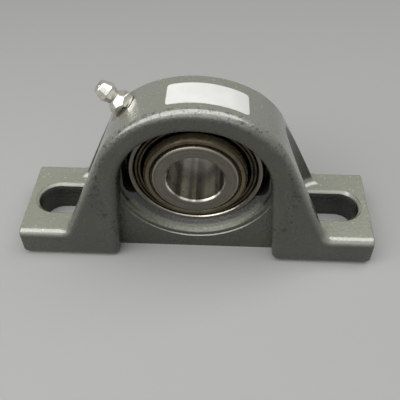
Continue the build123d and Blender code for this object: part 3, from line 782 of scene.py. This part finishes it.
def fitting_surface(shape):
    """Grease fitting: a closed outline of (radius, height) turned about the axis.

    Where the outline passes the hexagon its radius is the lesser of the outline's and that of a hexagon
    with rounded corners, so the outline's cone cuts the corners as a real bevel does.
    """
    head, neck, across = shape.head / MM, shape.neck / MM, shape.hexagon / MM
    top, length, tip = shape.hexagon_height / MM, shape.length / MM, shape.tip / MM
    shank, shank_end, seat_gap = 3.15, -5.0, 0.03
    throat, mouth, chamber = 1.0, 0.9, 1.25
    past_corners = across / math.sqrt(3) + 0.2
    outline = divided(rounded_loop([
        (throat, shank_end), (shank, shank_end), (shank, seat_gap), (across / 2 - 0.25, seat_gap),
        (past_corners, 0.45), (past_corners, top + neck - past_corners), (neck, top), (neck, top + 0.3),
        (head, length - 3.3), (head, length - 2.9), (tip, length - 0.3), (tip - 0.3, length),
        (1.05, length), (mouth, length - 0.1), (mouth, length - 0.75), (chamber, length - 1.3),
        (chamber, length - 7.0), (throat, length - 7.05),
    ], 0.1), 0.18)
    turn = np.linspace(0, 2 * math.pi, 144, endpoint=False)
    # Hexagon radius: a soft minimum over the six flats keeps the corners slightly round. A flat that looks
    # away is held far out, so that it doesn't count.
    sharpness = 20
    facing = np.cos(turn[None] - np.radians(60 * np.arange(6))[:, None])
    flats = across / 2 / np.maximum(facing, 0.3)
    hexagon = -np.log(np.sum(np.exp(-flats * sharpness), axis=0)) / sharpness
    radius, height = outline[:, :1], outline[:, 1:]
    in_hexagon = (height > 0) & (height < top) & (radius > neck)
    radius = np.where(in_hexagon, np.minimum(radius, hexagon[None]), radius)
    axis = np.array(FITTING_HEAD["axis"])
    side = np.array([0.0, 1.0, 0.0])
    other = np.cross(axis, side)
    seat = np.array(FITTING_HEAD["pos_m"]) / MM - axis * length
    round_axis = side[None] * np.cos(turn)[:, None] + other[None] * np.sin(turn)[:, None]
    points = seat + height[..., None] * axis + radius[..., None] * round_axis[None]
    return outward(points * MM, grid_faces(len(outline), len(turn)))


def turned_about_shaft(outline, step):
    """Closed outline of (radius, along) in mm turned about the shaft: x = r sin t, z = shaft + r cos t."""
    outline = divided(np.asarray(outline, float), step)
    turn = np.linspace(0, 2 * math.pi, 192, endpoint=False)
    radius, along = outline[:, :1], outline[:, 1:]
    points = np.stack(
        [radius * np.sin(turn), along + 0 * turn, SHAFT_HEIGHT / MM + radius * np.cos(turn)], axis=-1,
    )
    return outward(points * MM, grid_faces(len(outline), len(turn)))


def outer_ring_outline():
    """Outer ring: a sphere with a groove outside, and the seal seats and the balls' race inside."""
    face, floor = RING.half_width, RING.seal_floor
    mirror = np.array([1, -1])
    along = np.linspace(-RING.sphere_end, -RING.groove_side, 20)
    sphere = np.stack([np.sqrt(RING.sphere**2 - along**2), along], axis=1)
    groove = np.array([(RING.groove, -RING.groove_side), (RING.groove, RING.groove_side)])
    end = np.array([
        (RING.face_outside, face), (RING.face_inside, face), (RING.seal_seat, RING.chamfer_end),
        (RING.seal_seat, floor), (RING.land, floor),
    ])
    reach = math.asin(RING.race_reach / RING.race_radius)
    turn = np.linspace(reach, -reach, 28)
    race = RING.race_radius * np.stack([np.cos(turn), np.sin(turn)], axis=1) + (RING.race_centre, 0)
    return np.concatenate([sphere, groove, (sphere * mirror)[::-1], end, race, (end * mirror)[::-1]])


def shield_outline(side):
    """Seal shield: a flange in its seat, two rolled beads with a groove between, a cone down to the lip."""
    return rounded_loop(SHIELD_SECTION, 0.25) * (1, side)


def flinger_outline(side, reach):
    """Flinger: a channel whose foot grips the inner ring, with a rounded crown and an outer skirt."""
    foot_end, skirt_end = 7.2, 7.3
    loop = rounded_loop([
        (14.52, foot_end), (14.52, reach - 1.0), (15.0, reach - 0.9), (15.1, reach - 0.1),
        (16.3, reach + 0.05), (17.05, reach - 0.75), (17.2, skirt_end), (16.75, skirt_end),
        (16.55, reach - 1.1), (16.0, reach - 0.5), (15.6, reach - 0.6), (15.5, reach - 1.35),
        (15.0, reach - 1.45), (14.95, foot_end),
    ], 0.4)
    return loop * (1, side)


# --- operators -------------------------------------------------------------------------------
class PILLOWBLOCK_OT_paint_casting(bpy.types.Operator):
    """Paints the cast housing"""

    bl_idname = "pillow_block.paint_casting"
    bl_label = "Paint Casting"

    def execute(self, context):
        make_groups()
        dress(enamel(context.scene.casting_paint), "housing")
        return {"FINISHED"}


class PILLOWBLOCK_OT_finish_rings(bpy.types.Operator):
    """Finishes the ground outer and inner rings"""

    bl_idname = "pillow_block.finish_rings"
    bl_label = "Finish Rings"

    def execute(self, context):
        make_groups()
        steel = context.scene.bearing_steel
        colour = tuple(steel.ring)
        # The outer ring's chamfered front edge: worn bright and a painted highlight.
        chamfer_highlight = (20.6, 20.95, 3.0)
        outer = turned_steel("ring_outer", colour, steel.turning, 0.2, tone=0.35, rubbed_highlight=chamfer_highlight)
        points, faces = turned_about_shaft(outer_ring_outline(), 0.3)
        add_surface(
            "outer_ring_shell", points, faces, outer, "insert", "ring_steel", "outer_ring", crease_angle=30,
        )
        # The inner ring's front outer edge: worn bright and a painted highlight.
        edge_highlight = (13.7, 15, 1.7)
        inner = turned_steel("ring_inner", colour, steel.turning, rubbed_highlight=edge_highlight, reflection_streaked=True)
        dress(inner, "inner_ring")
        return {"FINISHED"}


class PILLOWBLOCK_OT_finish_rolling(bpy.types.Operator):
    """Finishes the balls and the pressed cage between the rings"""

    bl_idname = "pillow_block.finish_rolling"
    bl_label = "Finish Balls and Cage"

    def execute(self, context):
        make_groups()
        mirror = (0.62, 0.62, 0.62)
        lapping = 0.05 * MM
        polished = turned_steel("ball_polish", mirror, lapping, 0.08, relief=0.0005 * MM, tone=0.04)
        dress(polished, *BALLS, "grease_fitting_ball")
        bright_sheet = (0.42, 0.41, 0.38)
        cage = pressed_sheet("cage_sheet", bright_sheet, 0.32)
        dress(cage, "cage_front", "cage_rear", "cage_rivets", "grease_fitting_spring")
        return {"FINISHED"}


class PILLOWBLOCK_OT_finish_seals(bpy.types.Operator):
    """Finishes the seal shields, their rubber lips and the flingers"""

    bl_idname = "pillow_block.finish_seals"
    bl_label = "Finish Seals"

    def execute(self, context):
        make_groups()
        steel = context.scene.bearing_steel
        black_cone = (0, 18.15, (0.006, 0.006, 0.005))
        sheet = pressed_sheet("shield_sheet", tuple(steel.sheet), 0.30, band=black_cone)
        # The flingers' skirt is painted lighter: painted light on the skirt.
        skirt_painted_light = (16.75, 19, gained(steel.flinger, 2.3))
        plate = pressed_sheet("flinger_plate", tuple(steel.flinger), 0.29, metallic=0.65, band=skirt_painted_light)
        for end, side, reach in (("front", -1, 10.6), ("rear", 1, 9.9)):
            points, faces = turned_about_shaft(shield_outline(side), 0.12)
            add_surface(
                f"shield_shell_{end}", points, faces, sheet, "insert", "shield_steel", f"seal_shield_{end}",
            )
            points, faces = turned_about_shaft(flinger_outline(side, reach), 0.12)
            add_surface(
                f"flinger_shell_{end}", points, faces, plate, "rotor", "flinger_plate", f"flinger_{end}",
            )
        dress(lip_rubber(), "seal_lip_front", "seal_lip_rear")
        return {"FINISHED"}


class PILLOWBLOCK_OT_finish_collar(bpy.types.Operator):
    """Finishes the locking collar and its set screw"""

    bl_idname = "pillow_block.finish_collar"
    bl_label = "Finish Collar"

    def execute(self, context):
        make_groups()
        steel = context.scene.bearing_steel
        coarse_turning = steel.turning * 1.4
        dress(turned_steel("collar_turned", tuple(steel.collar), coarse_turning, 0.34), "locking_collar")
        black_oxide = (0.05, 0.05, 0.052)
        dress(pressed_sheet("screw_oxide", black_oxide, 0.38), "collar_set_screw")
        return {"FINISHED"}


class PILLOWBLOCK_OT_build_fitting(bpy.types.Operator):
    """Builds the grease fitting with its chamfered hexagon and tapered head"""

    bl_idname = "pillow_block.build_fitting"
    bl_label = "Build Grease Fitting"

    def execute(self, context):
        make_groups()
        shape = context.scene.fitting_shape
        points, faces = fitting_surface(shape)
        zinc = pressed_sheet("fitting_zinc", tuple(shape.zinc), 0.22)
        add_surface(
            "fitting_shell", points, faces, zinc, "base", "fitting_zinc", "grease_fitting_body",
            crease_angle=28,
        )
        return {"FINISHED"}


class PILLOWBLOCK_OT_place_label(bpy.types.Operator):
    """Finishes the bare label on the crown"""

    bl_idname = "pillow_block.place_label"
    bl_label = "Place Label"

    def execute(self, context):
        make_groups()
        dress(bare_paper(tuple(context.scene.label_sheet.paper)), "label")
        return {"FINISHED"}


class PILLOWBLOCK_OT_set_stage(bpy.types.Operator):
    """Sets the floor, the lamps, the surround and the camera"""

    bl_idname = "pillow_block.set_stage"
    bl_label = "Set Stage"

    def execute(self, context):
        scene = context.scene
        stage = scene.studio_stage
        self.floor(scene, stage)
        self.lamps(scene, stage)
        self.surround(scene, stage)
        self.camera(scene, stage)
        scene.view_settings.view_transform = "Standard"
        return {"FINISHED"}

    def floor(self, scene, stage):
        """A wide pale floor: darker to bounced light, so that it doesn't fill the shaded faces."""
        mesh = bpy.data.meshes.new("floor")
        half = 4.0
        corners = [(-half, -half, 0), (half, -half, 0), (half, half, 0), (-half, half, 0)]
        mesh.from_pydata(corners, [], [(0, 1, 2, 3)])
        floor = bpy.data.objects.new("floor", mesh)
        scene.collection.objects.link(floor)
        made = bpy.data.materials.new("floor")
        made.use_nodes = True
        tree = made.node_tree
        surface = tree.nodes["Principled BSDF"]
        surface.inputs["Roughness"].default_value = 0.9
        surface.inputs["Specular IOR Level"].default_value = 0.0
        path = put(tree, "ShaderNodeLightPath", -3, 0)
        bounced = path.outputs["Is Diffuse Ray"]
        colour = blend_colour(tree, bounced, tuple(stage.floor), gained(stage.floor, stage.bounce), -1, 0)
        # Far from the object the floor fades into the surround: its own colour goes out and the surround's
        # tone comes in, for every ray but a bounced one.
        place = put(tree, "ShaderNodeTexCoord", -3, 2)
        away = put(tree, "ShaderNodeVectorMath", -2, 2, operation="LENGTH")
        tree.links.new(place.outputs["Object"], away.inputs[0])
        fade_start, fade_end = 0.16, 0.62
        far = smooth_step(tree, away.outputs["Value"], fade_start, fade_end, -1, 2)
        tree.links.new(blend_colour(tree, far, colour, (0, 0, 0), 0, 1), surface.inputs["Base Color"])
        glow = math_node(tree, "MULTIPLY", 0, 3, far, stage.backdrop)
        unbounced = math_node(tree, "SUBTRACT", -1, 4, 1.0, bounced)
        surface.inputs["Emission Color"].default_value = (1, 1, 1, 1)
        strength = math_node(tree, "MULTIPLY", 1, 3, glow, unbounced)
        tree.links.new(strength, surface.inputs["Emission Strength"])
        mesh.materials.append(made)

    def lamps(self, scene, stage):
        """A long soft lamp over the object, across its length, and a weaker one before it."""
        # Name, power, width and depth in metres, place in metres and turn in degrees.
        rows = (
            ("overhead", stage.overhead, (2.3, 0.50), (-0.42, -0.25, 0.50), (0, -8, 22)),
            ("front", stage.front, (1.6, 1.1), (-0.1, -1.1, 0.80), (54, 0, 0)),
        )
        for name, power, size, place, turn in rows:
            data = bpy.data.lights.new(name, "AREA")
            data.shape = "RECTANGLE"
            data.size, data.size_y = size
            data.energy = power
            lamp = bpy.data.objects.new(name, data)
            lamp.location = place
            lamp.rotation_euler = [math.radians(angle) for angle in turn]
            scene.collection.objects.link(lamp)

    def surround(self, scene, stage):
        """An even surround: dim as light, pale where the camera, metal and glass see it."""
        world = bpy.data.worlds.new("surround")
        scene.world = world
        world.use_nodes = True
        tree = world.node_tree
        back = tree.nodes["Background"]
        path = put(tree, "ShaderNodeLightPath", -4, 0)
        seen = math_node(tree, "MAXIMUM", -3, 0, path.outputs["Is Camera Ray"], path.outputs["Is Glossy Ray"])
        seen = math_node(tree, "MAXIMUM", -2, 0, seen, path.outputs["Is Transmission Ray"])
        strength = between(tree, seen, stage.surround, stage.backdrop, -1, 0)
        tree.links.new(strength, back.inputs["Strength"])
        back.inputs["Color"].default_value = (1, 1, 1, 1)

    def camera(self, scene, stage):
        """Camera in front, above and a little to the right, looking down at the bore."""
        data = bpy.data.cameras.new("camera")
        data.sensor_width = 36
        data.lens = stage.lens
        data.clip_start, data.clip_end = 0.01, 20
        camera = bpy.data.objects.new("camera", data)
        stand = (8.43 * MM, -140.11 * MM, 160.67 * MM)
        # The view's right and up, then made square to each other.
        right = Vector((0.9989, 0.0465, -0.0064))
        up = Vector((-0.0293, 0.7250, 0.6880))
        back = right.cross(up).normalized()
        right = up.cross(back).normalized()
        up = back.cross(right)
        turn = Matrix((right, up, back)).transposed().to_4x4()
        camera.matrix_world = Matrix.Translation(stand) @ turn
        scene.collection.objects.link(camera)
        scene.camera = camera


class PILLOWBLOCK_PT_sidebar(bpy.types.Panel):
    """Lists the steps that finish the bearing"""

    bl_idname = "PILLOWBLOCK_PT_sidebar"
    bl_label = "Pillow Block Bearing"
    bl_space_type = "VIEW_3D"
    bl_region_type = "UI"
    bl_category = "Pillow Block"

    def draw(self, context):
        for name, group in SETTINGS.items():
            box = self.layout.box()
            box.label(text=group.__doc__)
            for field in group.__annotations__:
                box.prop(getattr(context.scene, name), field)
        for operator in OPERATORS:
            self.layout.operator(operator.bl_idname)


OPERATORS = (
    PILLOWBLOCK_OT_paint_casting,
    PILLOWBLOCK_OT_finish_rings,
    PILLOWBLOCK_OT_finish_rolling,
    PILLOWBLOCK_OT_finish_seals,
    PILLOWBLOCK_OT_finish_collar,
    PILLOWBLOCK_OT_build_fitting,
    PILLOWBLOCK_OT_place_label,
    PILLOWBLOCK_OT_set_stage,
)


def register():
    """Registers the settings, the steps and the panel."""
    for group in SETTINGS.values():
        bpy.utils.register_class(group)
    for name, group in SETTINGS.items():
        setattr(bpy.types.Scene, name, PointerProperty(type=group))
    for operator in OPERATORS:
        bpy.utils.register_class(operator)
    bpy.utils.register_class(PILLOWBLOCK_PT_sidebar)


def unregister():
    """Removes the panel, the steps and the settings."""
    bpy.utils.unregister_class(PILLOWBLOCK_PT_sidebar)
    for operator in reversed(OPERATORS):
        bpy.utils.unregister_class(operator)
    for name in SETTINGS:
        delattr(bpy.types.Scene, name)
    for group in reversed(SETTINGS.values()):
        bpy.utils.unregister_class(group)


def main():
    """Registers the classes and runs each step in order."""
    register()
    bpy.ops.pillow_block.paint_casting()
    bpy.ops.pillow_block.finish_rings()
    bpy.ops.pillow_block.finish_rolling()
    bpy.ops.pillow_block.finish_seals()
    bpy.ops.pillow_block.finish_collar()
    bpy.ops.pillow_block.build_fitting()
    bpy.ops.pillow_block.place_label()
    bpy.ops.pillow_block.set_stage()


if __name__ == "__main__":
    main()
